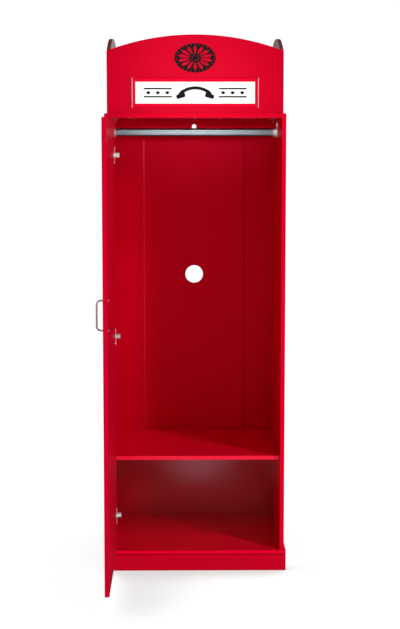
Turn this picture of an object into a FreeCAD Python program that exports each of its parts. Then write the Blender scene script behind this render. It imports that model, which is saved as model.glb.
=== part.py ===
import FreeCAD, Part
import os, math

# ---------------------------------------------------------------------------
# Telephone-box styled cabinet (single-door wardrobe), open door at rest.
# Millimetres. +Z up, +X to the right seen from the front, the front faces -Y.
# Origin: centre of the footprint, on the floor.
# ---------------------------------------------------------------------------
os.makedirs("parts", exist_ok=True)

# ---- driving dimensions ----------------------------------------------------
CARC_W = 635.0          # outside width over the side panels
CARC_D = 560.0          # depth of the side panels
T = 15.0                # board thickness
PLINTH_W = 648.0        # plinth and bottom panel width
PLINTH_PROUD = 10.0     # how far plinth and bottom panel stand in front of the sides
PLINTH_H = 59.0
TOP_UNDER = 1614.0      # underside of the top panel
HEADER_W = 615.0        # width of the arched header box
HEADER_CORNER_Z = 1844.0
HEADER_APEX_Z = 1900.0
HEADER_INSET = 5.0      # header set back from the front of the top panel
HEADER_SIDE_T = 15.0    # arched side boards of the header box
BATTEN_W = 15.0         # battens that hold the side boards to the top panel
BATTEN_H = 12.0
SHELF_TOP = 413.0
SHELF_SETBACK = 22.0
BACK_FRONT = 550.0      # distance from the front edge to the back panel's face
BACK_T = 3.0
BACK_JOINT_X = 193.0    # position of the two vertical joints in the back

DOOR_GAP_SIDE = 3.0
DOOR_GAP_BOTTOM = 1.5
DOOR_GAP_TOP = 4.5
PLINTH_STEP = 1.5        # plinth front board behind the bottom panel's edge
PIVOT_FROM_EDGE = 10.5  # hinge pin axis from the door's hinge edge
HINGE_Z = (199.0, 846.0, 1484.0)
HANDLE_Z = 982.0
HANDLE_SPACING = 96.0
HANDLE_FROM_EDGE = 55.0

RAIL_Z = 1564.0
RAIL_Y = 20.0
CABLE_HOLE_R = 34.0
CABLE_HOLE_Z = 1020.0
VENT_HOLE_R = 8.5
VENT_HOLE_Z = 1587.0

# ---- derived ---------------------------------------------------------------
XO = CARC_W / 2.0                       # outer face of the side panels
XI = XO - T                             # inner face of the side panels
PX = PLINTH_W / 2.0
YR = (CARC_D + PLINTH_PROUD) / 2.0      # rear of everything
YF = YR - CARC_D                        # front edge of side panels, shelf deck, top
YP = YF - PLINTH_PROUD                  # front of the plinth
BOT_Z0 = PLINTH_H
BOT_Z1 = PLINTH_H + T
TOP_Z0 = TOP_UNDER
TOP_Z1 = TOP_UNDER + T
YB = YF + BACK_FRONT                    # front face of the back panels
DOOR_X0 = -XI + DOOR_GAP_SIDE
DOOR_X1 = XI - DOOR_GAP_SIDE
DOOR_Z0 = BOT_Z1 + DOOR_GAP_BOTTOM
DOOR_Z1 = TOP_Z0 - DOOR_GAP_TOP
PIV_X = DOOR_X0 + PIVOT_FROM_EDGE
PIV_Y = YF + T / 2.0
V = FreeCAD.Vector


def box(x0, x1, y0, y1, z0, z1):
    return Part.makeBox(x1 - x0, y1 - y0, z1 - z0, V(x0, y0, z0))


def cyl(r, h, p, d):
    return Part.makeCylinder(r, h, V(*p), V(*d))


def compound(shapes):
    return Part.makeCompound(shapes) if len(shapes) > 1 else shapes[0]


def fuse(shapes):
    s = shapes[0]
    for o in shapes[1:]:
        s = s.fuse(o)
    return s.removeSplitter()


def cut(s, tools):
    for t in tools:
        s = s.cut(t)
    return s


def poly_prism(pts, z0, h):
    w = Part.makePolygon([V(x, y, z0) for x, y in pts] + [V(pts[0][0], pts[0][1], z0)])
    return Part.Face(w).extrude(V(0, 0, h))


def clean(s):
    try:
        return s.removeSplitter()
    except Exception:
        return s


nodes = {}


def save(name, shape):
    nodes[name] = shape


def solids(shapes):
    out = []
    for s in shapes:
        out.extend(s.Solids)
    return Part.makeCompound(out)


def pan_screw(p, d, head_r=4.0, head_h=2.0, shank_r=2.0, length=16.0):
    """pan head screw: p is the seat of the head, d points along the shank"""
    dv = V(*d)
    dv.normalize()
    pv = V(*p)
    head = Part.makeCylinder(head_r, head_h, pv - dv * head_h, dv)
    edges = [e for e in head.Edges if abs((e.CenterOfMass - (pv - dv * head_h)).Length) < 0.01]
    try:
        head = head.makeFillet(min(head_h * 0.6, 1.2), edges[:1])
    except Exception:
        pass
    # cross recess
    a = V(0, 0, 1) if abs(dv.z) < 0.9 else V(1, 0, 0)
    b = dv.cross(a)
    c = pv - dv * head_h
    for u, w in ((a, b), (b, a)):
        s = Part.makePolygon([c + u * (head_r * 0.5) + w * 0.45, c - u * (head_r * 0.5) + w * 0.45,
                              c - u * (head_r * 0.5) - w * 0.45, c + u * (head_r * 0.5) - w * 0.45,
                              c + u * (head_r * 0.5) + w * 0.45])
        head = head.cut(Part.Face(s).extrude(dv * 0.9))
    shank = Part.makeCylinder(shank_r, length - 1.5 + 0.05, pv - dv * 0.05, dv)
    tip = Part.makeCone(shank_r, 0.4, 1.5, pv + dv * (length - 1.5), dv)
    return fuse([head, shank, tip])


def screw_hole(p, d, shank_r=2.0, length=16.0):
    dv = V(*d)
    dv.normalize()
    pv = V(*p)
    s = Part.makeCylinder(shank_r, length - 1.5, pv, dv)
    return s.fuse(Part.makeCone(shank_r, 0.4, 1.5, pv + dv * (length - 1.5), dv))


# =========================== joints of the carcass ==========================
# cam locks sit in blind bores in the side panels, their bolts and the wood
# dowels cross the joints to the bottom and the top panel
CAM_Y = (YF + 60.0, YF + 476.0)
DOWEL_Y = (YF + 92.0, YF + 444.0)
CAM_R, CAM_D, CAM_OFF = 7.5, 12.0, 24.0
cams, cam_bolts, dowels = [], [], []
for sx in (-1, 1):
    xm = sx * (XI + T / 2.0)
    for y in CAM_Y:
        for z, up in ((BOT_Z1 + CAM_OFF, -1), (TOP_Z0 - CAM_OFF, 1)):
            c = cyl(CAM_R, CAM_D, (sx * XI, y, z), (sx, 0, 0))
            slot_h = box(-4.6, 4.6, -0.6, 0.6, -0.7, 0.7)
            slot_v = box(-0.6, 0.6, -4.6, 4.6, -0.7, 0.7)
            for s in (slot_h, slot_v):
                s = s.copy()
                s.rotate(V(0, 0, 0), V(0, 1, 0), 90)
                s.translate(V(sx * XI, y, z))
                c = c.cut(s)
            cams.append(c)
            if up < 0:
                cam_bolts.append(cyl(3.0, z - CAM_R - 0.2 - (BOT_Z1 - 12.0), (xm, y, BOT_Z1 - 12.0), (0, 0, 1)))
            else:
                cam_bolts.append(cyl(3.0, TOP_Z0 + 12.0 - (z + CAM_R + 0.2), (xm, y, z + CAM_R + 0.2), (0, 0, 1)))
    for y in DOWEL_Y:
        dowels.append(cyl(4.0, 30.0, (xm, y, BOT_Z1 - 12.0), (0, 0, 1)))
        dowels.append(cyl(4.0, 30.0, (xm, y, TOP_Z0 - 18.0), (0, 0, 1)))
cam_bores = [cyl(CAM_R, CAM_D, (sx * XI, y, z), (sx, 0, 0))
             for sx in (-1, 1) for y in CAM_Y for z in (BOT_Z1 + CAM_OFF, TOP_Z0 - CAM_OFF)]
save("cam_locks", solids(cams))
save("cam_bolts", solids(cam_bolts))
save("wood_dowels", solids(dowels))

# =========================== plinth =========================================
save("plinth_front", box(-PX, PX, YP + PLINTH_STEP, YP + T, 0, PLINTH_H))
save("plinth_rear", box(-PX, PX, YR - T, YR, 0, PLINTH_H))
save("plinth_left", box(-PX, -PX + T, YP + T, YR - T, 0, PLINTH_H))
save("plinth_right", box(PX - T, PX, YP + T, YR - T, 0, PLINTH_H))
save("plinth_centre_rail", box(-T / 2, T / 2, YP + T, YR - T, 0, PLINTH_H))
BL = 25.0
blocks, plinth_screws = [], []
for sx in (-1, 1):
    for y0 in (YP + T, YR - T - BL):
        x0 = -PX + T if sx < 0 else PX - T - BL
        b = box(x0, x0 + BL, y0, y0 + BL, 5.0, PLINTH_H)
        p, d = (x0 + BL / 2, y0 + BL / 2, 35.0), (0, 0, 1)
        bore = cyl(4.5, 30.0, (p[0], p[1], 5.0), d)
        blocks.append(b.cut(bore).cut(screw_hole(p, d, 2.0, 34.0)))
        plinth_screws.append(pan_screw(p, d, 4.0, 2.0, 2.0, 34.0))
save("plinth_corner_blocks", solids(blocks))
save("plinth_screws", solids(plinth_screws))

bottom = box(-PX, PX, YP, YR, BOT_Z0, BOT_Z1)
bottom = cut(bottom, cam_bolts + dowels + plinth_screws)
GROOVE_D = 6.0
GROOVE_T = BACK_T + 0.2
bottom = bottom.cut(box(-XI - GROOVE_D, XI + GROOVE_D, YB, YB + GROOVE_T, BOT_Z1 - 5.0, BOT_Z1 + 1))
save("bottom_panel", bottom)

# =========================== side panels ====================================
PIN_Z = SHELF_TOP - T - 2.5
pins = []
for sx in (-1, 1):
    for y in (YF + 70.0, YF + 500.0):
        a = cyl(2.5, 18.0, (sx * (XI - 8.0), y, PIN_Z), (sx, 0, 0))
        collar = cyl(4.0, 1.5, (sx * XI, y, PIN_Z), (-sx, 0, 0))
        pins.append(fuse([a, collar]).cut(box(-XO, XO, y - 10, y + 10, SHELF_TOP - T, SHELF_TOP)))
pin_bores = [cyl(2.5, 10.0, (sx * XI, y, PIN_Z), (sx, 0, 0)) for sx in (-1, 1) for y in (YF + 70.0, YF + 500.0)]
save("shelf_pins", solids(pins))

# rail brackets and their screws
br_screws = []
for sx in (-1, 1):
    for z in (RAIL_Z + 22.0, RAIL_Z + 33.0):
        br_screws.append(pan_screw((sx * (XI - 2.5), RAIL_Y, z), (sx, 0, 0), 3.2, 1.6, 1.7, 13.0))
save("rail_bracket_screws", solids(br_screws))

# corner brackets under the top panel, at the rear
cb, cb_screws = [], []
CBY = YB - 12.0
for sx in (-1, 1):
    w = 8.0
    leg_v = box(min(sx * XI, sx * (XI - 2.0)), max(sx * XI, sx * (XI - 2.0)), CBY - w / 2, CBY + w / 2, TOP_Z0 - 14.0, TOP_Z0)
    leg_h = box(min(sx * XI, sx * (XI - 14.0)), max(sx * XI, sx * (XI - 14.0)), CBY - w / 2, CBY + w / 2, TOP_Z0 - 2.0, TOP_Z0)
    br = fuse([leg_v, leg_h])
    s1 = pan_screw((sx * (XI - 2.0), CBY, TOP_Z0 - 9.5), (sx, 0, 0), 2.8, 1.5, 1.5, 13.0)
    s2 = pan_screw((sx * (XI - 9.5), CBY, TOP_Z0 - 2.0), (0, 0, 1), 2.8, 1.5, 1.5, 13.0)
    br = cut(br, [s1, s2])
    cb.append(br)
    cb_screws += [s1, s2]
save("top_corner_brackets", solids(cb))
save("corner_bracket_screws", solids(cb_screws))

# hinge mounting plates
plates, plate_screws, arm_screws = [], [], []
PL_Y0, PL_Y1 = YF + 31.0, YF + 79.0       # central block along the depth
for hz in HINGE_Z:
    wing = box(-XI, -XI + 3.0, PL_Y0 + 13.0, PL_Y0 + 31.0, hz - 24.0, hz + 24.0)
    try:
        wing = wing.makeFillet(6.0, [e for e in wing.Edges if abs(e.tangentAt(e.FirstParameter).x) > 0.9])
    except Exception:
        pass
    block = box(-XI, -XI + 9.5, PL_Y0, PL_Y1, hz - 6.0, hz + 6.0)
    pl = fuse([wing, block])
    for dz in (-16.0, 16.0):
        s = pan_screw((-XI + 3.0, PL_Y0 + 22.0, hz + dz), (-1, 0, 0), 3.8, 2.0, 2.0, 15.0)
        plate_screws.append(s)
        pl = pl.cut(s)
    arm_s = pan_screw((-XI + 11.3, PL_Y0 + 36.0, hz), (-1, 0, 0), 4.6, 2.2, 2.4, 9.0)
    arm_screws.append(arm_s)
    pl = pl.cut(arm_s)
    plates.append(pl)
save("hinge_mounting_plates", solids(plates))
save("hinge_plate_screws", solids(plate_screws))
save("hinge_arm_screws", solids(arm_screws))


def side(sx):
    x0, x1 = (-XO, -XI) if sx < 0 else (XI, XO)
    s = box(x0, x1, YF, YR, BOT_Z1, TOP_Z0)
    g0, g1 = (-XI - GROOVE_D, -XI) if sx < 0 else (XI, XI + GROOVE_D)
    s = s.cut(box(min(g0, g1), max(g0, g1), YB, YB + GROOVE_T, BOT_Z1, TOP_Z0))
    tools = [t for t in cam_bores + cam_bolts + dowels + pin_bores + br_screws + cb_screws if t.BoundBox.Center.x * sx > 0]
    if sx < 0:
        tools += plate_screws
    return cut(s, tools)


save("side_panel_left", side(-1))
save("side_panel_right", side(1))

# =========================== header box on the top panel ====================
HY0 = YF + HEADER_INSET
HY1 = YR - HEADER_INSET
HX = HEADER_W / 2.0


def arch_front(y0, y1):
    """board in the XZ plane with an arched top edge"""
    a = V(-HX, y0, TOP_Z1)
    b = V(HX, y0, TOP_Z1)
    c = V(HX, y0, HEADER_CORNER_Z)
    d = V(-HX, y0, HEADER_CORNER_Z)
    m = V(0, y0, HEADER_APEX_Z)
    w = Part.Wire([Part.LineSegment(a, b).toShape(), Part.LineSegment(b, c).toShape(),
                   Part.Arc(c, m, d).toShape(), Part.LineSegment(d, a).toShape()])
    return Part.Face(w).extrude(V(0, y1 - y0, 0))


def arch_side(x0, x1):
    """board in the YZ plane; the arch spans the whole box, the ends butt the front and rear boards"""
    ym = (HY0 + HY1) / 2.0
    a = V(x0, HY0, TOP_Z1)
    b = V(x0, HY1, TOP_Z1)
    c = V(x0, HY1, HEADER_CORNER_Z)
    d = V(x0, HY0, HEADER_CORNER_Z)
    m = V(x0, ym, HEADER_APEX_Z)
    w = Part.Wire([Part.LineSegment(a, b).toShape(), Part.LineSegment(b, c).toShape(),
                   Part.Arc(c, m, d).toShape(), Part.LineSegment(d, a).toShape()])
    s = Part.Face(w).extrude(V(x1 - x0, 0, 0))
    return s.common(box(x0 - 1, x1 + 1, HY0 + T, HY1 - T, TOP_Z1 - 1, HEADER_APEX_Z + 1))


header_screws = []
for x in (-230.0, 0.0, 230.0):
    for y in (HY0 + T / 2, HY1 - T + 4.5):
        header_screws.append(pan_screw((x, y, TOP_Z0), (0, 0, 1), 4.0, 2.0, 2.0, 45.0))
# the side rows go up into the battens, just inside the side panels
for sx in (-1, 1):
    for y in (-120.0, 130.0):
        header_screws.append(pan_screw((sx * (HX - HEADER_SIDE_T - BATTEN_W / 2), y, TOP_Z0), (0, 0, 1), 4.0, 2.0, 2.0, 24.0))
save("header_screws", solids(header_screws))

save("header_front", cut(arch_front(HY0, HY0 + T), header_screws))
save("header_rear", cut(arch_front(HY1 - T, HY1), header_screws))
save("header_left", arch_side(-HX, -HX + HEADER_SIDE_T))
save("header_right", arch_side(HX - HEADER_SIDE_T, HX))
hb = []
CBK = 20.0
for sx in (-1, 1):
    for y0 in (HY0 + T, HY1 - T - CBK):
        x0 = -HX + HEADER_SIDE_T if sx < 0 else HX - HEADER_SIDE_T - CBK
        b = box(x0, x0 + CBK, y0, y0 + CBK, TOP_Z1, TOP_Z1 + 180.0)
        e = [q for q in b.Edges if abs(q.tangentAt(q.FirstParameter).z) > 0.9 and
             abs(q.CenterOfMass.x) < abs(x0 + CBK / 2) - 1 and
             abs(q.CenterOfMass.y - (0.5 * (HY0 + HY1))) < abs((y0 + CBK / 2) - 0.5 * (HY0 + HY1)) - 1]
        if e:
            b = b.makeChamfer(9.0, e)
        hb.append(b)
save("header_corner_blocks", solids(hb))
battens = []
for sx in (-1, 1):
    xa, xb = sorted((sx * (HX - HEADER_SIDE_T), sx * (HX - HEADER_SIDE_T - BATTEN_W)))
    battens.append(cut(box(xa, xb, HY0 + T + CBK, HY1 - T - CBK, TOP_Z1, TOP_Z1 + BATTEN_H),
                       [h for h in header_screws if h.BoundBox.Center.x * sx > 250.0]))
save("header_battens", solids(battens))

top = box(-XO, XO, YF, YR, TOP_Z0, TOP_Z1)
top = cut(top, cam_bolts + dowels + header_screws + cb_screws)
top = top.cut(box(-XI - GROOVE_D, XI + GROOVE_D, YB, YB + GROOVE_T, TOP_Z0 - 1, TOP_Z0 + 5.0))
save("top_panel", top)

# =========================== shelf ==========================================
shelf = box(-XI + 0.3, XI - 0.3, YF + SHELF_SETBACK, YB - 1.2, SHELF_TOP - T, SHELF_TOP)
shelf = cut(shelf, [box(-XI - 1, -XI + 9.0, -1000, 1000, SHELF_TOP - T - 10, SHELF_TOP - T)])
save("shelf", shelf)

# =========================== back panels ====================================
BX = XI + GROOVE_D - 0.5
BY0, BY1 = YB + 0.1, YB + 0.1 + BACK_T
BZ_SPLIT = SHELF_TOP - T / 2.0
BZ0, BZ1 = BOT_Z1 - 4.5, TOP_Z0 + 4.5
g = 0.6
centre = box(-BACK_JOINT_X + g, BACK_JOINT_X - g, BY0, BY1, BZ_SPLIT + g, BZ1)
centre = centre.cut(cyl(CABLE_HOLE_R, 10.0, (0, YB - 2, CABLE_HOLE_Z), (0, 1, 0)))
centre = centre.cut(cyl(VENT_HOLE_R, 10.0, (0, YB - 2, VENT_HOLE_Z), (0, 1, 0)))
save("back_panel_centre", centre)
save("back_panel_left", box(-BX, -BACK_JOINT_X - g, BY0, BY1, BZ_SPLIT + g, BZ1))
save("back_panel_right", box(BACK_JOINT_X + g, BX, BY0, BY1, BZ_SPLIT + g, BZ1))
save("back_panel_lower", box(-BX, BX, BY0, BY1, BZ0, BZ_SPLIT - g))
strips = []
fl = 2.4
for x in (-BACK_JOINT_X, BACK_JOINT_X):
    strips.append(fuse([box(x - g, x + g, BY0 - 0.8, BY1 + 0.8, BZ_SPLIT + 2 * g + 1.0, TOP_Z0 - 0.5),
                        box(x - fl, x + fl, BY0 - 0.8, BY0, BZ_SPLIT + 2 * g + 1.0, TOP_Z0 - 0.5),
                        box(x - fl, x + fl, BY1, BY1 + 0.8, BZ_SPLIT + 2 * g + 1.0, TOP_Z0 - 0.5)]))
zz = BZ_SPLIT
strips.append(fuse([box(-XI + 0.5, XI - 0.5, BY0 - 0.8, BY1 + 0.8, zz - g, zz + g),
                    box(-XI + 0.5, XI - 0.5, BY0 - 0.8, BY0, zz - fl + 0.8, zz + fl - 0.8),
                    box(-XI + 0.5, XI - 0.5, BY1, BY1 + 0.8, zz - fl + 0.8, zz + fl - 0.8)]))
save("back_joint_strips", solids(strips))

# =========================== hanging rail ===================================


def oval(half_h, half_w, x0, x1):
    """stadium section (tall in Z) swept along X"""
    s = half_h - half_w
    return fuse([box(x0, x1, RAIL_Y - half_w, RAIL_Y + half_w, RAIL_Z - s, RAIL_Z + s),
                 cyl(half_w, x1 - x0, (x0, RAIL_Y, RAIL_Z + s), (1, 0, 0)),
                 cyl(half_w, x1 - x0, (x0, RAIL_Y, RAIL_Z - s), (1, 0, 0))])


RX = XI - 2.8
save("hanging_rail", oval(15.0, 7.5, -RX, RX).cut(oval(13.8, 6.3, -RX - 1, RX + 1)))
for sx, nm in ((-1, "rail_bracket_left"), (1, "rail_bracket_right")):
    xa, xb = sorted((sx * XI, sx * (XI - 2.5)))
    plate = fuse([box(xa, xb, RAIL_Y - 9.5, RAIL_Y + 9.5, RAIL_Z - 9.5, RAIL_Z + 31.0),
                  cyl(9.5, 2.5, (xa, RAIL_Y, RAIL_Z + 31.0), (1, 0, 0)),
                  cyl(9.5, 2.5, (xa, RAIL_Y, RAIL_Z - 9.5), (1, 0, 0))])
    sa, sb = sorted((sx * (XI - 2.5), sx * (XI - 14.0)))
    cup = oval(17.4, 9.9, sa, sb).cut(oval(15.25, 7.75, sa - 1, sb + 1))
    # open at the top so that the rail drops in
    cup = cup.cut(box(sa - 1, sb + 1, RAIL_Y - 7.75, RAIL_Y + 7.75, RAIL_Z + 7.5, RAIL_Z + 30))
    b = fuse([plate, cup])
    b = cut(b, [s for s in br_screws if s.BoundBox.Center.x * sx > 0])
    save(nm, b)

# =========================== sign and ornament ==============================
SGN_Z = 1700.0
sy1 = HY0                       # front face of the header board
SGN_W, SGN_H = 416.0, 75.0               # sign plate
FRM_W, FRM_H = 436.0, 101.0              # raised frame round it
frame_out = box(-FRM_W / 2, FRM_W / 2, sy1 - 4.0, sy1, SGN_Z - FRM_H / 2, SGN_Z + FRM_H / 2)
try:
    frame_out = frame_out.makeChamfer(1.6, [e for e in frame_out.Edges if abs(e.CenterOfMass.y - (sy1 - 4.0)) < 0.01])
except Exception:
    pass
save("sign_frame", frame_out.cut(box(-SGN_W / 2 - 0.5, SGN_W / 2 + 0.5, sy1 - 6, sy1 + 1, SGN_Z - SGN_H / 2 - 0.5, SGN_Z + SGN_H / 2 + 0.5)))
save("sign_plate", box(-SGN_W / 2, SGN_W / 2, sy1 - 2.4, sy1, SGN_Z - SGN_H / 2, SGN_Z + SGN_H / 2))
# thin pale trims down both ends of the frame
trims = []
for sx in (-1, 1):
    xa, xb = sorted((sx * FRM_W / 2, sx * (FRM_W / 2 + 2.6)))
    t_ = box(xa, xb, sy1 - 4.6, sy1, SGN_Z - FRM_H / 2 - 1.0, SGN_Z + FRM_H / 2 + 1.0)
    t_ = t_.makeFillet(1.0, [e for e in t_.Edges if abs(e.CenterOfMass.y - (sy1 - 4.6)) < 0.01 and abs(e.tangentAt(e.FirstParameter).z) > 0.9])
    trims.append(t_)
save("sign_end_trims", solids(trims))

# generic handset pictogram between plain rules and lozenges
py0, py1 = sy1 - 3.2, sy1 - 2.4


def flat(pts):
    w = Part.makePolygon([V(x, py0, z) for x, z in pts] + [V(pts[0][0], py0, pts[0][1])])
    return Part.Face(w).extrude(V(0, py1 - py0, 0))


def rounded(cx, cz, wx, wz, r, deg=0.0):
    b = box(cx - wx / 2, cx + wx / 2, py0, py1, cz - wz / 2, cz + wz / 2)
    b = b.makeFillet(r, [e for e in b.Edges if abs(e.tangentAt(e.FirstParameter).y) > 0.9])
    if deg:
        b.rotate(V(cx, py0, cz), V(0, 1, 0), deg)
    return b


pic = []
AC, RO, RI, HALF = SGN_Z - 64.0, 86.0, 75.0, 33.0
outer, inner = [], []
for i in range(25):
    a = math.radians(90 - HALF + 2 * HALF * i / 24.0)
    outer.append((RO * math.cos(a), AC + RO * math.sin(a)))
    inner.append((RI * math.cos(a), AC + RI * math.sin(a)))
handset = flat(outer + inner[::-1])
for sx in (-1, 1):
    # neck and cup at each end of the handle
    handset = handset.fuse(flat([(sx * 34.0, SGN_Z + 14.0), (sx * 47.0, SGN_Z + 9.5), (sx * 60.0, SGN_Z - 4.0), (sx * 38.0, SGN_Z - 8.0)]))
    handset = handset.fuse(rounded(sx * 50.0, SGN_Z - 11.0, 32.0, 15.0, 5.5, -sx * -16.0))
pic.append(clean(handset))
for sx in (-1, 1):
    for dz in (-14.0, 14.0):
        pic.append(rounded(sx * 130.0, SGN_Z + dz, 98.0, 5.0, 2.3))
    for k in range(3):
        xc = sx * (97.0 + 33.0 * k)
        pic.append(flat([(xc - 8.5, SGN_Z), (xc, SGN_Z + 6.5), (xc + 8.5, SGN_Z), (xc, SGN_Z - 6.5)]))
save("sign_pictogram", solids(pic))

# pierced rosette: an oval plate with fourteen petals cut out round a boss
ORN_Z = 1819.5
oy0, oy1 = HY0 - 2.5, HY0
ex, ez = 71.0, 50.0
outer_e = Part.Ellipse(V(0, oy0, ORN_Z), ex, ez)
outer_e = Part.Ellipse(V(ex, oy0, ORN_Z), V(0, oy0, ORN_Z + ez), V(0, oy0, ORN_Z))
rosette = Part.Face(Part.Wire([outer_e.toShape()])).extrude(V(0, oy1 - oy0, 0))
holes = []
PETALS = 14
for k in range(PETALS):
    a = 2 * math.pi * (k + 0.5) / PETALS
    ux, uz = math.cos(a), math.sin(a)
    n = math.hypot(-ex * uz, ez * ux)
    tx, tz = -ex * uz / n, ez * ux / n
    left, right = [], []
    for rr, hw in ((0.28, 1.2), (0.42, 3.4), (0.56, 5.1), (0.69, 5.9), (0.78, 4.2), (0.82, 1.4)):
        cx, cz = ex * rr * ux, ez * rr * uz
        left.append((cx + tx * hw, ORN_Z + cz + tz * hw))
        right.append((cx - tx * hw, ORN_Z + cz - tz * hw))
    pp = left + right[::-1]
    w = Part.makePolygon([V(x, oy0 - 1, z) for x, z in pp] + [V(pp[0][0], oy0 - 1, pp[0][1])])
    holes.append(Part.Face(w).extrude(V(0, oy1 - oy0 + 2, 0)))
for k in range(28):
    a = 2 * math.pi * k / 28.0
    holes.append(cyl(2.0, oy1 - oy0 + 2, (ex * 0.905 * math.cos(a), oy0 - 1, ORN_Z + ez * 0.895 * math.sin(a)), (0, 1, 0)))
for k in range(7):
    a = 2 * math.pi * k / 7.0
    holes.append(cyl(2.0, oy1 - oy0 + 2, (ex * 0.17 * math.cos(a), oy0 - 1, ORN_Z + ez * 0.17 * math.sin(a)), (0, 1, 0)))
rosette = cut(rosette, holes)
save("ornament_plate", rosette)

# =========================== hinge arms =====================================
arms = []
AT = 1.6
ARM_DEG = 14.5
for hz in HINGE_Z:
    ca, sa_ = math.cos(math.radians(ARM_DEG)), math.sin(math.radians(ARM_DEG))
    L = 22.5
    p0 = (PIV_X, PIV_Y)
    p1 = (PIV_X + L * ca, PIV_Y + L * sa_)
    p2 = (p1[0] + 1.2, p1[1] + 5.5)
    p3 = (p2[0] - 2.2, PL_Y0 - 11.0)
    xw = -XI + 9.7 + AT / 2          # middle of the channel web
    p4 = (xw + 5.0, PL_Y0 - 3.0)
    p5 = (xw, PL_Y0 + 1.0)
    p6 = (xw, PL_Y1 - 2.0)
    path = [p0, p1, p2, p3, p4, p5, p6]

    def strip(pts, z0, h):
        out = []
        for (xa, ya), (xb, yb) in zip(pts[:-1], pts[1:]):
            d = math.hypot(xb - xa, yb - ya)
            nx, ny = -(yb - ya) / d * AT / 2, (xb - xa) / d * AT / 2
            out.append(poly_prism([(xa + nx, ya + ny), (xb + nx, yb + ny), (xb - nx, yb - ny), (xa - nx, ya - ny)], z0, h))
            out.append(cyl(AT / 2, h, (xb, yb, z0), (0, 0, 1)))
        return out

    neck = strip(path[:2], hz - 5.5, 11.0) + strip(path[1:5], hz - 8.5, 17.0)
    body = strip(path[4:], hz - 7.8, 15.6)
    cheeks = [box(-XI + 4.0, xw, PL_Y0 + 1.0, PL_Y1 - 2.0, hz - 7.8, hz - 6.2),
              box(-XI + 4.0, xw, PL_Y0 + 1.0, PL_Y1 - 2.0, hz + 6.2, hz + 7.8)]
    knuckle = cyl(2.9, 11.0, (PIV_X, PIV_Y, hz - 5.5), (0, 0, 1))
    a = fuse([knuckle] + neck + body + cheeks)
    a = a.cut(cyl(1.30, 30.0, (PIV_X, PIV_Y, hz - 15.0), (0, 0, 1)))
    # the wings of the mounting plate pass under the cheeks
    a = a.cut(box(-XI, -XI + 5.2, PL_Y0 + 8.0, PL_Y0 + 36.0, hz - 12.0, hz + 12.0))
    a = cut(a, arm_screws)
    arms.append(a)
save("hinge_arms", solids(arms))

# =========================== door (built closed, then swung open) ===========
door_parts = {}
cups, cup_screws, hpins = [], [], []
CUP_C = DOOR_X0 + 22.5
YI = YF + T                       # inner face of the closed door
panel = box(DOOR_X0, DOOR_X1, YF, YI, DOOR_Z0, DOOR_Z1)
for hz in HINGE_Z:
    panel = panel.cut(cyl(17.5, 12.0, (CUP_C, YI, hz), (0, -1, 0)))
    body = cyl(17.5, 12.0, (CUP_C, YI - 12.0, hz), (0, 1, 0))
    fl_ = fuse([box(CUP_C - 7.0, CUP_C + 7.0, YI, YI + 1.2, hz - 23.5, hz + 23.5),
                cyl(7.0, 1.2, (CUP_C, YI, hz + 23.5), (0, 1, 0)),
                cyl(7.0, 1.2, (CUP_C, YI, hz - 23.5), (0, 1, 0)),
                cyl(18.6, 1.2, (CUP_C, YI, hz), (0, 1, 0))])
    c = fuse([body, fl_])
    c = c.cut(cyl(16.5, 20.0, (CUP_C, YI - 11.0, hz), (0, 1, 0)))
    c = c.cut(cyl(17.2, 5.0, (CUP_C, YI, hz), (0, 1, 0)))
    pin = cyl(1.25, 22.4, (PIV_X, PIV_Y, hz - 11.2), (0, 0, 1))
    c = c.cut(pin)
    for dz in (-24.0, 24.0):
        s = pan_screw((CUP_C, YI + 1.2, hz + dz), (0, -1, 0), 3.6, 1.4, 1.8, 11.0)
        cup_screws.append(s)
        c = c.cut(s)
        panel = panel.cut(s)
    cups.append(c)
    hpins.append(pin)
# shallow recessed panes on the outside, three columns by eight rows
COLS, ROWS, BAR = 3, 8, 14.0
MX, MZ0, MZ1, REC = 62.0, 150.0, 90.0, 1.5
pw = (DOOR_X1 - DOOR_X0 - 2 * MX - (COLS - 1) * BAR) / COLS
ph = (DOOR_Z1 - DOOR_Z0 - MZ0 - MZ1 - (ROWS - 1) * BAR) / ROWS
for i in range(COLS):
    for j in range(ROWS):
        x0 = DOOR_X0 + MX + i * (pw + BAR)
        z0 = DOOR_Z0 + MZ0 + j * (ph + BAR)
        panel = panel.cut(box(x0, x0 + pw, YF - 1, YF + REC, z0, z0 + ph))

# bow handle on the outside face
HXc = DOOR_X1 - HANDLE_FROM_EDGE
HR, HP, HB = 3.0, 25.0, 13.0          # rod radius, total projection, bend radius
yb = YF - HP + HR                     # centre line of the long bar
zs_ = (HANDLE_Z - HANDLE_SPACING / 2, HANDLE_Z + HANDLE_SPACING / 2)
pieces = [cyl(HR, abs(yb - YF) - HB, (HXc, YF - (abs(yb - YF) - HB), z), (0, 1, 0)) for z in zs_]
pieces.append(cyl(HR, HANDLE_SPACING - 2 * HB, (HXc, yb, zs_[0] + HB), (0, 0, 1)))
for z, s in ((zs_[0], 1), (zs_[1], -1)):
    cz = z + s * HB
    cyv = yb + HB
    tor = Part.makeTorus(HB, HR, V(HXc, cyv, cz), V(1, 0, 0))
    keep = box(HXc - 10, HXc + 10, cyv - HB - HR - 1, cyv, min(cz, cz - s * (HB + HR + 1)), max(cz, cz - s * (HB + HR + 1)))
    pieces.append(tor.common(keep))
feet = [cyl(4.5, 1.6, (HXc, YF - 1.6, z), (0, 1, 0)) for z in zs_]
handle = fuse(pieces + feet)
h_screws = []
for z in zs_:
    s = pan_screw((HXc, YI, z), (0, -1, 0), 4.2, 2.2, 1.7, T + 9.0)
    h_screws.append(s)
    panel = panel.cut(s)
    handle = handle.cut(s)

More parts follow.
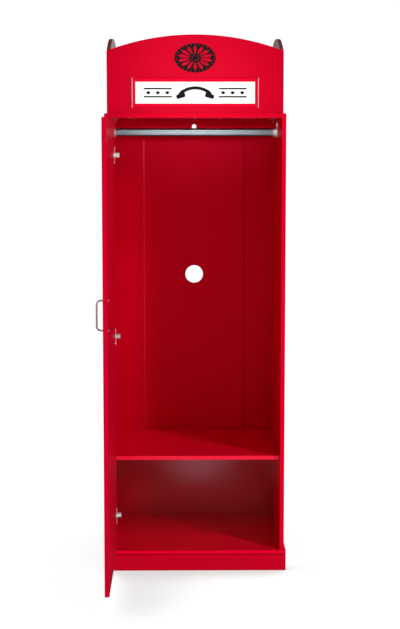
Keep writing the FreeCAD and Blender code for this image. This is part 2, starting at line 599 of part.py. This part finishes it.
door_parts["door_panel"] = panel
door_parts["door_handle"] = handle
door_parts["door_handle_screws"] = solids(h_screws)
door_parts["hinge_cups"] = solids(cups)
door_parts["hinge_cup_screws"] = solids(cup_screws)
door_parts["hinge_pins"] = solids(hpins)
for k, s in door_parts.items():
    s = s.copy()
    s.rotate(V(PIV_X, PIV_Y, 0), V(0, 0, 1), -90.0)
    save(k, s)

# =========================== export =========================================
for k, s in nodes.items():
    s.exportStep("parts/%s.step" % k)
    bb = s.BoundBox
    print("%-24s solids %2d valid %s vol %10.0f  x %8.1f %8.1f  y %8.1f %8.1f  z %8.1f %8.1f" % (
        k, len(s.Solids), s.isValid(), s.Volume, bb.XMin, bb.XMax, bb.YMin, bb.YMax, bb.ZMin, bb.ZMax))
print(len(nodes), "nodes; pivot", PIV_X, PIV_Y)
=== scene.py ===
import math
import bpy, bmesh
from mathutils import Vector, Matrix


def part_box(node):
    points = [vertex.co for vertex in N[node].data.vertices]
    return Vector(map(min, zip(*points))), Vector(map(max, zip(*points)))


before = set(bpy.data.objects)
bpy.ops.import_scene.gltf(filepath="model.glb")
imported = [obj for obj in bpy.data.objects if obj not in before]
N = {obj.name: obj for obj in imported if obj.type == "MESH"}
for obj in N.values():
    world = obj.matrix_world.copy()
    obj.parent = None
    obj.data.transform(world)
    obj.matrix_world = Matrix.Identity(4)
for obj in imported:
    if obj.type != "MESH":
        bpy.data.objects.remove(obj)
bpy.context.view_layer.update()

scene = bpy.context.scene


def new_mat(name):
    m = bpy.data.materials.new(name)
    m.use_nodes = True
    nt = m.node_tree
    for n in list(nt.nodes):
        nt.nodes.remove(n)
    out = nt.nodes.new("ShaderNodeOutputMaterial")
    bsdf = nt.nodes.new("ShaderNodeBsdfPrincipled")
    nt.links.new(bsdf.outputs["BSDF"], out.inputs["Surface"])
    return m, nt, bsdf


def node(nt, kind, **kw):
    n = nt.nodes.new(kind)
    for k, v in kw.items():
        if k in n.inputs.keys():
            n.inputs[k].default_value = v
        else:
            setattr(n, k, v)
    return n


def coords(nt, scale=(1, 1, 1), rot=(0, 0, 0)):
    tc = nt.nodes.new("ShaderNodeTexCoord")
    mp = nt.nodes.new("ShaderNodeMapping")
    mp.inputs["Scale"].default_value = scale
    mp.inputs["Rotation"].default_value = rot
    nt.links.new(tc.outputs["Object"], mp.inputs["Vector"])
    return mp.outputs["Vector"]


def noise(nt, vec, scale, detail=3.0, rough=0.55, dist=0.0):
    n = nt.nodes.new("ShaderNodeTexNoise")
    n.inputs["Scale"].default_value = scale
    n.inputs["Detail"].default_value = detail
    n.inputs["Roughness"].default_value = rough
    n.inputs["Distortion"].default_value = dist
    nt.links.new(vec, n.inputs["Vector"])
    return n.outputs["Fac"]


def remap(nt, fac, a, b, c, d, clamp=True):
    n = nt.nodes.new("ShaderNodeMapRange")
    n.clamp = clamp
    for k, v in (("From Min", a), ("From Max", b), ("To Min", c), ("To Max", d)):
        n.inputs[k].default_value = v
    nt.links.new(fac, n.inputs["Value"])
    return n.outputs["Result"]


def mixc(nt, fac, a, b):
    n = nt.nodes.new("ShaderNodeMix")
    n.data_type = "RGBA"
    nt.links.new(fac, n.inputs["Factor"])
    for sock, val in (("A", a), ("B", b)):
        s = [i for i in n.inputs if i.name == sock and i.type == "RGBA"][0]
        if isinstance(val, (tuple, list)):
            s.default_value = (val[0], val[1], val[2], 1.0)
        else:
            nt.links.new(val, s)
    return [o for o in n.outputs if o.type == "RGBA"][0]


def math_(nt, op, a, b=None):
    n = nt.nodes.new("ShaderNodeMath")
    n.operation = op
    for i, v in enumerate((a, b)):
        if v is None:
            continue
        if isinstance(v, (int, float)):
            n.inputs[i].default_value = v
        else:
            nt.links.new(v, n.inputs[i])
    return n.outputs[0]


def bump(nt, bsdf, height, strength, distance, prev=None):
    b = nt.nodes.new("ShaderNodeBump")
    b.inputs["Strength"].default_value = strength
    b.inputs["Distance"].default_value = distance
    nt.links.new(height, b.inputs["Height"])
    if prev is not None:
        nt.links.new(prev, b.inputs["Normal"])
    nt.links.new(b.outputs["Normal"], bsdf.inputs["Normal"])
    return b.outputs["Normal"]


def edge_mask(nt, radius=0.0012):
    """1 close to an outer or inner edge, 0 on the flats"""
    bv = nt.nodes.new("ShaderNodeBevel")
    bv.samples = 4
    bv.inputs["Radius"].default_value = radius
    geo = nt.nodes.new("ShaderNodeNewGeometry")
    d = nt.nodes.new("ShaderNodeVectorMath")
    d.operation = "DOT_PRODUCT"
    nt.links.new(bv.outputs["Normal"], d.inputs[0])
    nt.links.new(geo.outputs["Normal"], d.inputs[1])
    return remap(nt, d.outputs["Value"], 1.0, 0.86, 0.0, 1.0)


# ---------------------------------------------------------------- materials
def red_lacquer(name, base, deep, rough=(0.30, 0.36), peel=0.05, spec=0.45, wear=0.3, coat=0.0, tint=(1.0, 0.03, 0.09)):
    m, nt, b = new_mat(name)
    v = coords(nt)
    big = noise(nt, v, 2.1, 2.0, 0.5)
    mid = noise(nt, v, 15.0, 3.0, 0.5)
    tone = math_(nt, "ADD", math_(nt, "MULTIPLY", big, 0.8), math_(nt, "MULTIPLY", mid, 0.2))
    col = mixc(nt, remap(nt, tone, 0.35, 0.65, 0.0, 1.0), deep, base)
    # pigment specks of the sprayed coat
    speck = remap(nt, noise(nt, v, 2400.0, 2.0, 0.6), 0.62, 0.80, 0.0, 0.22)
    col = mixc(nt, speck, col, [min(1, c * 1.15) for c in base])
    # light rubbing along edges
    e = edge_mask(nt)
    broken = remap(nt, noise(nt, v, 240.0, 5.0, 0.7), 0.46, 0.66, 0.0, 1.0)
    em = math_(nt, "MULTIPLY", math_(nt, "MULTIPLY", e, broken), wear)
    col = mixc(nt, em, col, [min(1, base[0] * 1.22), base[1] + 0.03, base[2] + 0.05])
    nt.links.new(col, b.inputs["Base Color"])
    # satin, with faint wiped patches
    wipe = noise(nt, v, 4.5, 2.0, 0.5)
    r = remap(nt, math_(nt, "ADD", math_(nt, "MULTIPLY", wipe, 0.7), math_(nt, "MULTIPLY", mid, 0.3)), 0.3, 0.7, rough[0], rough[1])
    r = math_(nt, "ADD", r, math_(nt, "MULTIPLY", em, 0.20))
    nt.links.new(r, b.inputs["Roughness"])
    b.inputs["Specular IOR Level"].default_value = spec
    b.inputs["Specular Tint"].default_value = (tint[0], tint[1], tint[2], 1.0)
    b.inputs["IOR"].default_value = 1.46
    b.inputs["Coat Weight"].default_value = coat
    b.inputs["Coat Roughness"].default_value = 0.12
    # fine orange peel, then the slow waviness of the board
    n1 = bump(nt, b, noise(nt, v, 620.0, 2.0, 0.5), peel, 0.0005)
    bump(nt, b, noise(nt, v, 7.0, 1.0, 0.4), 0.05, 0.004, n1)
    return m


def pale_inside(mat, pale, outside):
    """the face turned towards the middle of the object is pale backing paper, the outer face is lacquered"""
    nt = mat.node_tree
    b = [n for n in nt.nodes if n.type == "BSDF_PRINCIPLED"][0]
    red = b.inputs["Base Color"].links[0].from_socket
    tc = nt.nodes.new("ShaderNodeTexCoord")
    sp_ = nt.nodes.new("ShaderNodeSeparateXYZ")
    sn = nt.nodes.new("ShaderNodeSeparateXYZ")
    nt.links.new(tc.outputs["Object"], sp_.inputs[0])
    nt.links.new(tc.outputs["Normal"], sn.inputs[0])
    inner = remap(nt, math_(nt, "MULTIPLY", sp_.outputs["X"], sn.outputs["X"]), -0.10, -0.20, 0.0, 1.0)
    fleck = noise(nt, tc.outputs["Object"], 180.0, 4.0, 0.6)
    paper = mixc(nt, fleck, [c * 0.92 for c in pale], pale)
    outer = remap(nt, math_(nt, "MULTIPLY", sp_.outputs["X"], sn.outputs["X"]), 0.10, 0.20, 0.0, 1.0)
    nt.links.new(mixc(nt, outer, mixc(nt, inner, red, paper), outside), b.inputs["Base Color"])
    nt.links.new(mixc(nt, outer, (1.0, 1.0, 1.0), (1.0, 0.02, 0.06)), b.inputs["Specular Tint"])
    return mat


def matt_behind(mat):
    """a back board is glossy only on the face seen through the door opening"""
    nt = mat.node_tree
    b = [n for n in nt.nodes if n.type == "BSDF_PRINCIPLED"][0]
    tc = nt.nodes.new("ShaderNodeTexCoord")
    sn = nt.nodes.new("ShaderNodeSeparateXYZ")
    nt.links.new(tc.outputs["Normal"], sn.inputs[0])
    t = b.inputs["Specular Tint"].default_value
    nt.links.new(mixc(nt, remap(nt, sn.outputs["Y"], 0.3, 0.7, 0.0, 1.0), (t[0], t[1], t[2]), (1.0, 0.02, 0.10)), b.inputs["Specular Tint"])
    return mat


def metal(name, base, rough, aniso_axis=None, dirt=0.15, peel=0.06, metallic=1.0):
    m, nt, b = new_mat(name)
    v = coords(nt)
    big = noise(nt, v, 40.0, 4.0, 0.6)
    if aniso_axis is None:
        line = noise(nt, v, 700.0, 4.0, 0.6)
    else:
        sc = [1500.0, 1500.0, 1500.0]
        sc[aniso_axis] = 18.0
        line = noise(nt, coords(nt, tuple(sc)), 1.0, 4.0, 0.65)
    dark = [c * (1 - dirt) for c in base]
    col = mixc(nt, remap(nt, math_(nt, "ADD", math_(nt, "MULTIPLY", big, 0.6), math_(nt, "MULTIPLY", line, 0.4)), 0.35, 0.65, 0, 1), dark, base)
    nt.links.new(col, b.inputs["Base Color"])
    b.inputs["Metallic"].default_value = metallic
    nt.links.new(remap(nt, line, 0.3, 0.7, rough[0], rough[1]), b.inputs["Roughness"])
    bump(nt, b, line, peel, 0.0003)
    return m


def plastic(name, base, rough, grain_scale=900.0, peel=0.12, var=0.06, spec=0.5):
    m, nt, b = new_mat(name)
    v = coords(nt)
    big = noise(nt, v, 12.0, 4.0, 0.6)
    fine = noise(nt, v, grain_scale, 3.0, 0.6)
    a = [max(0.0, c * (1 - var)) for c in base]
    col = mixc(nt, remap(nt, big, 0.35, 0.65, 0, 1), a, base)
    sp = remap(nt, fine, 0.66, 0.80, 0.0, 0.5)
    col = mixc(nt, sp, col, [min(1, c * 0.85 + 0.02) for c in base])
    nt.links.new(col, b.inputs["Base Color"])
    nt.links.new(remap(nt, math_(nt, "ADD", math_(nt, "MULTIPLY", fine, 0.5), math_(nt, "MULTIPLY", big, 0.5)), 0.35, 0.65, rough[0], rough[1]), b.inputs["Roughness"])
    b.inputs["Specular IOR Level"].default_value = spec
    bump(nt, b, fine, peel, 0.0004)
    return m


def bare_wood(name, axis):
    m, nt, b = new_mat(name)
    sc = [38.0, 38.0, 38.0]
    sc[axis] = 2.2
    v = coords(nt, tuple(sc))
    ring = nt.nodes.new("ShaderNodeTexWave")
    ring.wave_type = "RINGS"
    ring.rings_direction = "XYZ"[axis]
    ring.inputs["Scale"].default_value = 0.9
    ring.inputs["Distortion"].default_value = 6.0
    ring.inputs["Detail"].default_value = 3.0
    nt.links.new(v, ring.inputs["Vector"])
    fib = noise(nt, v, 22.0, 6.0, 0.65)
    col = mixc(nt, remap(nt, ring.outputs["Fac"], 0.2, 0.9, 0, 1), (0.63, 0.46, 0.28), (0.44, 0.28, 0.145))
    col = mixc(nt, remap(nt, fib, 0.35, 0.7, 0, 0.5), col, (0.36, 0.22, 0.11))
    nt.links.new(col, b.inputs["Base Color"])
    nt.links.new(remap(nt, fib, 0.3, 0.7, 0.55, 0.8), b.inputs["Roughness"])
    bump(nt, b, fib, 0.3, 0.0006)
    return m


def floor_mat():
    """white studio sweep that glows: a painted soft contact shadow close to the object, plain white further out"""
    m, nt, b = new_mat("pale_floor")
    tc = nt.nodes.new("ShaderNodeTexCoord")
    v = tc.outputs["Object"]
    n = noise(nt, v, 3.0, 3.0, 0.5)
    col = mixc(nt, remap(nt, n, 0.3, 0.7, 0, 1), (0.12, 0.12, 0.12), (0.14, 0.14, 0.14))
    nt.links.new(col, b.inputs["Base Color"])
    b.inputs["Roughness"].default_value = 0.8
    b.inputs["Specular IOR Level"].default_value = 0.0
    ln = nt.nodes.new("ShaderNodeVectorMath")
    ln.operation = "LENGTH"
    nt.links.new(v, ln.inputs[0])
    # painted shadow: the floor's glow is dimmed by ambient occlusion close to the object, most strongly in a zone in
    # front of the plinth beside the door, and never below 0.66
    ao = nt.nodes.new("ShaderNodeAmbientOcclusion")
    ao.samples = 12
    ao.inputs["Distance"].default_value = 0.45
    sx = nt.nodes.new("ShaderNodeSeparateXYZ")
    nt.links.new(v, sx.inputs[0])
    front = math_(nt, "MULTIPLY", remap(nt, sx.outputs[0], -0.36, -0.27, 0.0, 1.0), remap(nt, sx.outputs[1], -0.34, -0.20, 1.0, 0.0))
    shade = math_(nt, "MULTIPLY", remap(nt, ao.outputs["AO"], 0.25, 0.90, 0.42, 0.0), remap(nt, front, 0.0, 1.0, 0.35, 1.9))
    near = math_(nt, "MAXIMUM", math_(nt, "SUBTRACT", 1.0, shade), 0.66)
    far = remap(nt, ln.outputs["Value"], 0.9, 1.8, 0.0, 1.0)
    mx = nt.nodes.new("ShaderNodeMix")
    mx.data_type = "FLOAT"
    nt.links.new(far, mx.inputs[0])
    nt.links.new(near, mx.inputs[2])
    mx.inputs[3].default_value = 1.05
    nt.links.new(mx.outputs[0], b.inputs["Emission Strength"])
    b.inputs["Emission Color"].default_value = (1, 1, 1, 1)
    bump(nt, b, noise(nt, v, 300.0, 2.0, 0.5), 0.02, 0.001)
    # painted reflection: in the object's gloss the sweep is dark except for a glowing patch in front of the object,
    # seen in glossy rays only, which paints the sheen on the lower back board and the shelf's front edge
    lpn = nt.nodes.new("ShaderNodeLightPath")
    mp = nt.nodes.new("ShaderNodeMapping")
    mp.inputs["Location"].default_value = (-0.03 / 0.17, 1.2 / 0.6, 0.0)
    mp.inputs["Scale"].default_value = (1 / 0.17, 1 / 0.6, 1.0)
    nt.links.new(v, mp.inputs["Vector"])
    pl = nt.nodes.new("ShaderNodeVectorMath")
    pl.operation = "LENGTH"
    nt.links.new(mp.outputs["Vector"], pl.inputs[0])
    painted_reflection_patch = nt.nodes.new("ShaderNodeEmission")
    nt.links.new(math_(nt, "ADD", remap(nt, pl.outputs["Value"], 0.2, 1.2, 1.8, 0.0), remap(nt, ln.outputs["Value"], 0.6, 2.2, 0.02, 0.01)), painted_reflection_patch.inputs["Strength"])
    out = [q for q in nt.nodes if q.type == "OUTPUT_MATERIAL"][0]
    ms = nt.nodes.new("ShaderNodeMixShader")
    nt.links.new(lpn.outputs["Is Glossy Ray"], ms.inputs[0])
    nt.links.new(b.outputs["BSDF"], ms.inputs[1])
    nt.links.new(painted_reflection_patch.outputs[0], ms.inputs[2])
    nt.links.new(ms.outputs[0], out.inputs["Surface"])
    return m


W = (1.0, 1.0, 1.0)
# one red lacquer in several copies: their base colours (0.53 to 0.79) differ partly as painted light and shade, each
# board made lighter or darker to follow how light falls on it rather than because the boards differ
RED = red_lacquer("red_lacquer_boards", (0.72, 0.0, 0.020), (0.68, 0.0, 0.018))
RED_FRONT = red_lacquer("red_lacquer_front", (0.56, 0.0, 0.015), (0.53, 0.0, 0.013))
RED_PLINTH = red_lacquer("red_lacquer_plinth", (0.60, 0.0, 0.018), (0.57, 0.0, 0.016))
RED_TOP = red_lacquer("red_lacquer_top", (0.64, 0.0, 0.018), (0.61, 0.0, 0.016), tint=(1.0, 0.02, 0.05))
RED_SHELF = red_lacquer("red_lacquer_shelf", (0.79, 0.0, 0.026), (0.75, 0.0, 0.023), rough=(0.28, 0.34), peel=0.003, tint=(1.0, 0.5, 0.65), spec=0.6)
RED_IN = red_lacquer("red_lacquer_inside", (0.70, 0.0, 0.019), (0.67, 0.0, 0.017), rough=(0.30, 0.38))
RED_DOOR = red_lacquer("red_lacquer_door", (0.60, 0.0, 0.019), (0.57, 0.0, 0.017), rough=(0.30, 0.36), tint=(1.0, 0.02, 0.12), spec=0.4)
RED_BACK = red_lacquer("red_lacquer_back", (0.61, 0.0, 0.013), (0.57, 0.0, 0.011), rough=(0.28, 0.34), wear=0.2, tint=(1.0, 0.02, 0.10), spec=0.35)
RED_LOWER = matt_behind(red_lacquer("red_lacquer_lower_back", (0.58, 0.0, 0.010), (0.54, 0.0, 0.009), rough=(0.15, 0.18), peel=0.015, wear=0.2, tint=(1.0, 0.85, 1.0), spec=0.75))
RED_DECK = red_lacquer("red_lacquer_deck", (0.76, 0.0, 0.018), (0.72, 0.0, 0.016), rough=(0.30, 0.36), peel=0.03)
for painted_front_mat, col, piece in ((RED_SHELF, (0.96, 0.0, 0.034), "shelf"), (RED_DECK, (0.82, 0.0, 0.026), "bottom_panel")):
    # painted highlight: the front-facing faces of the shelf and of the deck get a lighter red, standing for the light
    # their front edges catch
    lnt = painted_front_mat.node_tree
    lb = [q for q in lnt.nodes if q.type == "BSDF_PRINCIPLED"][0]
    geo = lnt.nodes.new("ShaderNodeNewGeometry")
    gs = lnt.nodes.new("ShaderNodeSeparateXYZ")
    lnt.links.new(geo.outputs["Normal"], gs.inputs[0])
    prev = lb.inputs["Base Color"].links[0].from_socket
    painted_front_col = mixc(lnt, remap(lnt, gs.outputs[1], -0.9, -0.6, 1.0, 0.0), prev, col)
    if piece == "bottom_panel":
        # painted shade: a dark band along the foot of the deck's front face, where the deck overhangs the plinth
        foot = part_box(piece)[0][2]
        gp = lnt.nodes.new("ShaderNodeSeparateXYZ")
        lnt.links.new(geo.outputs["Position"], gp.inputs[0])
        painted_front_col = mixc(lnt, remap(lnt, gp.outputs[2], foot + 0.0042, foot + 0.0052, 1.0, 0.0), painted_front_col, (0.45, 0.0, 0.010))
    lnt.links.new(painted_front_col, lb.inputs["Base Color"])
RED_STRIP = red_lacquer("red_joint_strip", (0.66, 0.0, 0.014), (0.60, 0.0, 0.012), rough=(0.22, 0.30), wear=0.1, tint=(1.0, 0.3, 0.4))
# painted shade: the right-hand strip, on the shaded side, is darker than the left-hand one
snt = RED_STRIP.node_tree
sb = [q for q in snt.nodes if q.type == "BSDF_PRINCIPLED"][0]
stc = snt.nodes.new("ShaderNodeTexCoord")
ssx = snt.nodes.new("ShaderNodeSeparateXYZ")
snt.links.new(stc.outputs["Object"], ssx.inputs[0])
painted_shade_side = remap(snt, ssx.outputs[0], -0.02, 0.02, 0.0, 1.0)
snt.links.new(mixc(snt, painted_shade_side, sb.inputs["Base Color"].links[0].from_socket, (0.34, 0.0, 0.008)), sb.inputs["Base Color"])
snt.links.new(mixc(snt, painted_shade_side, (1.0, 0.3, 0.4), (1.0, 0.02, 0.05)), sb.inputs["Specular Tint"])
ALU = metal("anodised_rail", (0.175, 0.203, 0.222), (0.32, 0.40), aniso_axis=0, dirt=0.05)
CHROME = metal("polished_chrome", (0.88, 0.90, 0.89), (0.16, 0.26), dirt=0.10, peel=0.02, metallic=0.6)
NICKEL = metal("nickel_plate", (0.90, 0.91, 0.90), (0.24, 0.34), dirt=0.10, peel=0.03, metallic=0.7)
ZINC = metal("zinc_plate", (0.74, 0.75, 0.76), (0.24, 0.38), dirt=0.15, peel=0.05)
SATIN = metal("satin_handle", (0.70, 0.69, 0.71), (0.24, 0.34), aniso_axis=2, dirt=0.08, peel=0.04)
WHITE = plastic("white_plate", (0.92, 0.92, 0.92), (0.26, 0.34), peel=0.03, var=0.02)
BLACK_PRINT_AND_SHADE = plastic("black_satin", (0.004, 0.004, 0.005), (0.42, 0.52), peel=0.08, var=0.25, spec=0.08)
# painted highlight: the sign's end trims are pale pink to stand for the highlight lines along the sides of the sign's
# frame
PALE_TRIM_HIGHLIGHT = plastic("pale_trim", (0.62, 0.40, 0.43), (0.20, 0.30), peel=0.03, var=0.03)
EAR = pale_inside(red_lacquer("red_side_board", (0.30, 0.040, 0.045), (0.24, 0.030, 0.034), rough=(0.4, 0.5), wear=0.4, tint=W), (0.66, 0.62, 0.61), (0.60, 0.0, 0.017))
WOOD_Z = bare_wood("bare_wood_upright", 2)
WOOD_Y = bare_wood("bare_wood_along", 1)

BY_NODE = {
    "back_panel_left": RED_BACK, "back_panel_centre": RED_BACK, "back_panel_right": RED_BACK, "back_panel_lower": RED_LOWER,
    "bottom_panel": RED_DECK,
    "back_joint_strips": RED_STRIP, "shelf": RED_SHELF, "side_panel_left": RED_IN, "side_panel_right": RED_IN,
    "door_panel": RED_DOOR, "header_front": RED_FRONT, "header_rear": RED_FRONT, "plinth_front": RED_PLINTH, "top_panel": RED_TOP,
    "header_left": EAR, "header_right": EAR,
    "hanging_rail": ALU, "rail_bracket_left": CHROME, "rail_bracket_right": CHROME,
    "hinge_cups": NICKEL, "hinge_arms": NICKEL, "hinge_mounting_plates": NICKEL,
    # the pictogram's black is print; the black ornament plate is painted shade, standing for the dark seen through the
    # emblem's cut-outs in the header
    "door_handle": SATIN, "sign_plate": WHITE, "sign_pictogram": BLACK_PRINT_AND_SHADE, "ornament_plate": BLACK_PRINT_AND_SHADE,
    "sign_end_trims": PALE_TRIM_HIGHLIGHT, "plinth_corner_blocks": WOOD_Z, "header_corner_blocks": WOOD_Z,
    "wood_dowels": WOOD_Z, "plinth_centre_rail": WOOD_Y, "header_battens": WOOD_Y,
}
ZINC_NODES = ("cam_locks", "cam_bolts", "plinth_screws", "header_screws", "rail_bracket_screws", "corner_bracket_screws",
              "top_corner_brackets", "hinge_plate_screws", "hinge_arm_screws", "hinge_cup_screws", "door_handle_screws",
              "shelf_pins", "hinge_pins")
# rounding of the arrises, in millimetres
BOARDS = {"plinth_front": 1.8, "plinth_rear": 1.0, "plinth_left": 1.0, "plinth_right": 1.0, "plinth_centre_rail": 0.8,
          "bottom_panel": 2.0, "side_panel_left": 1.0, "side_panel_right": 1.0, "top_panel": 1.2, "shelf": 1.2,
          "header_front": 1.0, "header_rear": 1.0, "header_left": 2.5, "header_right": 2.5, "header_battens": 0.8,
          "header_corner_blocks": 0.8, "plinth_corner_blocks": 0.8, "sign_frame": 0.4,
          "sign_plate": 0.35, "sign_pictogram": 0.2, "ornament_plate": 0.4, "door_panel": 1.2,
          "back_panel_left": 0.35, "back_panel_centre": 0.5, "back_panel_right": 0.35, "back_panel_lower": 0.35,
          "hinge_mounting_plates": 0.35, "hinge_cups": 0.25, "hinge_arms": 0.2, "rail_bracket_left": 0.35,
          "rail_bracket_right": 0.35, "top_corner_brackets": 0.3}
for name, ob in N.items():
    mat = BY_NODE.get(name, ZINC if name in ZINC_NODES else RED)
    ob.data.materials.clear()
    ob.data.materials.append(mat)
    if name in BOARDS:
        wd = ob.modifiers.new("weld", "WELD")
        wd.merge_threshold = 0.00002
        bv = ob.modifiers.new("arris", "BEVEL")
        bv.width = BOARDS[name] * 0.001
        bv.segments = 3
        bv.limit_method = "ANGLE"
        bv.angle_limit = math.radians(40)
        bv.harden_normals = True
        wn = ob.modifiers.new("normals", "WEIGHTED_NORMAL")
        wn.keep_sharp = True

# ---------------------------------------------------------------- stage
def plane(name, verts, mat):
    me = bpy.data.meshes.new(name)
    me.from_pydata(verts, [], [tuple(range(len(verts)))])
    me.materials.append(mat)
    o = bpy.data.objects.new(name, me)
    scene.collection.objects.link(o)
    return o


floor = plane("floor", [(-14, -12, -0.0005), (14, -12, -0.0005), (14, 14, -0.0005), (-14, 14, -0.0005)], floor_mat())

world = bpy.data.worlds.new("studio")
scene.world = world
world.use_nodes = True
wn = world.node_tree
for n in list(wn.nodes):
    wn.nodes.remove(n)
wo = wn.nodes.new("ShaderNodeOutputWorld")
bg_cam = node(wn, "ShaderNodeBackground")
bg_cam.inputs["Color"].default_value = (1, 1, 1, 1)
bg_cam.inputs["Strength"].default_value = 1.05
bg_lit = node(wn, "ShaderNodeBackground")
bg_lit.inputs["Color"].default_value = (1.0, 1.0, 1.0, 1)
bg_lit.inputs["Strength"].default_value = 0.05
bg_gls = node(wn, "ShaderNodeBackground")
bg_gls.inputs["Color"].default_value = (1.0, 1.0, 1.0, 1)
bg_gls.inputs["Strength"].default_value = 0.06
lp = wn.nodes.new("ShaderNodeLightPath")
m1 = wn.nodes.new("ShaderNodeMixShader")
m2 = wn.nodes.new("ShaderNodeMixShader")
wn.links.new(lp.outputs["Is Glossy Ray"], m1.inputs[0])
wn.links.new(bg_lit.outputs[0], m1.inputs[1])
wn.links.new(bg_gls.outputs[0], m1.inputs[2])
wn.links.new(lp.outputs["Is Camera Ray"], m2.inputs[0])
wn.links.new(m1.outputs[0], m2.inputs[1])
wn.links.new(bg_cam.outputs[0], m2.inputs[2])
wn.links.new(m2.outputs[0], wo.inputs["Surface"])


def area(name, loc, target, size, power, color=(1, 1, 1)):
    d = bpy.data.lights.new(name, "AREA")
    d.shape = "RECTANGLE"
    d.size, d.size_y = size
    d.energy = power
    d.color = color
    o = bpy.data.objects.new(name, d)
    scene.collection.objects.link(o)
    o.location = loc
    o.rotation_euler = (Vector(target) - Vector(loc)).to_track_quat("-Z", "Y").to_euler()
    return o


def around(az, el, r, t):
    a, e = math.radians(az), math.radians(el)
    return (t[0] + r * math.sin(a) * math.cos(e), t[1] - r * math.cos(a) * math.cos(e), t[2] + r * math.sin(e))


AIM = (0.1, -0.2, 0.9)
area("key_low", around(43, 9, 4.6, AIM), AIM, (0.35, 0.7), 34.0)
area("key_mid", around(43, 24, 4.6, AIM), AIM, (0.35, 0.4), 31.0)
area("key_high", around(43, 41, 4.6, AIM), AIM, (0.35, 0.35), 36.0)
area("soft_right", (3.1, -3.4, 2.1), (0.0, 0.0, 1.05), (1.6, 2.4), 20.0)
area("soft_left", (-3.4, -3.2, 2.2), (0.0, 0.0, 1.0), (1.6, 2.4), 21.0)
area("front_high", (0.3, -4.2, 3.6), (0.0, 0.0, 1.3), (2.4, 1.2), 19.0)
area("front_low", (0.0, -4.5, 0.5), (0.0, 0.0, 0.5), (2.4, 0.6), 11.0)
area("back_left", (-2.6, 3.2, 3.2), (0.0, 0.0, 1.0), (1.6, 1.6), 45.0)
area("back_right", (2.6, 3.2, 3.2), (0.0, 0.0, 1.0), (1.6, 1.6), 45.0)

sp = bpy.data.lights.new("header_spot", "SPOT")
sp.energy = 240.0
sp.spot_size = math.radians(8.0)
sp.spot_blend = 1.0
sp.shadow_soft_size = 0.12
so = bpy.data.objects.new("header_spot", sp)
scene.collection.objects.link(so)
so.location = (0.0, -5.4, 1.9)
so.rotation_euler = (Vector((0.0, -0.27, 1.69)) - Vector(so.location)).to_track_quat("-Z", "Y").to_euler()

# ---------------------------------------------------------------- camera
cam = bpy.data.cameras.new("camera")
cam.sensor_fit = "HORIZONTAL"
cam.sensor_width = 36.0
cam.lens = 1551.47 * 36.0 / 400.0
cam.clip_end = 60.0
co = bpy.data.objects.new("camera", cam)
scene.collection.objects.link(co)
co.location = (-0.043843, -5.714236, 1.548692)
co.rotation_euler = (math.radians(90.0) - 0.1142, 0.0, -0.0111)
scene.camera = co
scene.view_settings.view_transform = "Standard"
scene.view_settings.look = "None"
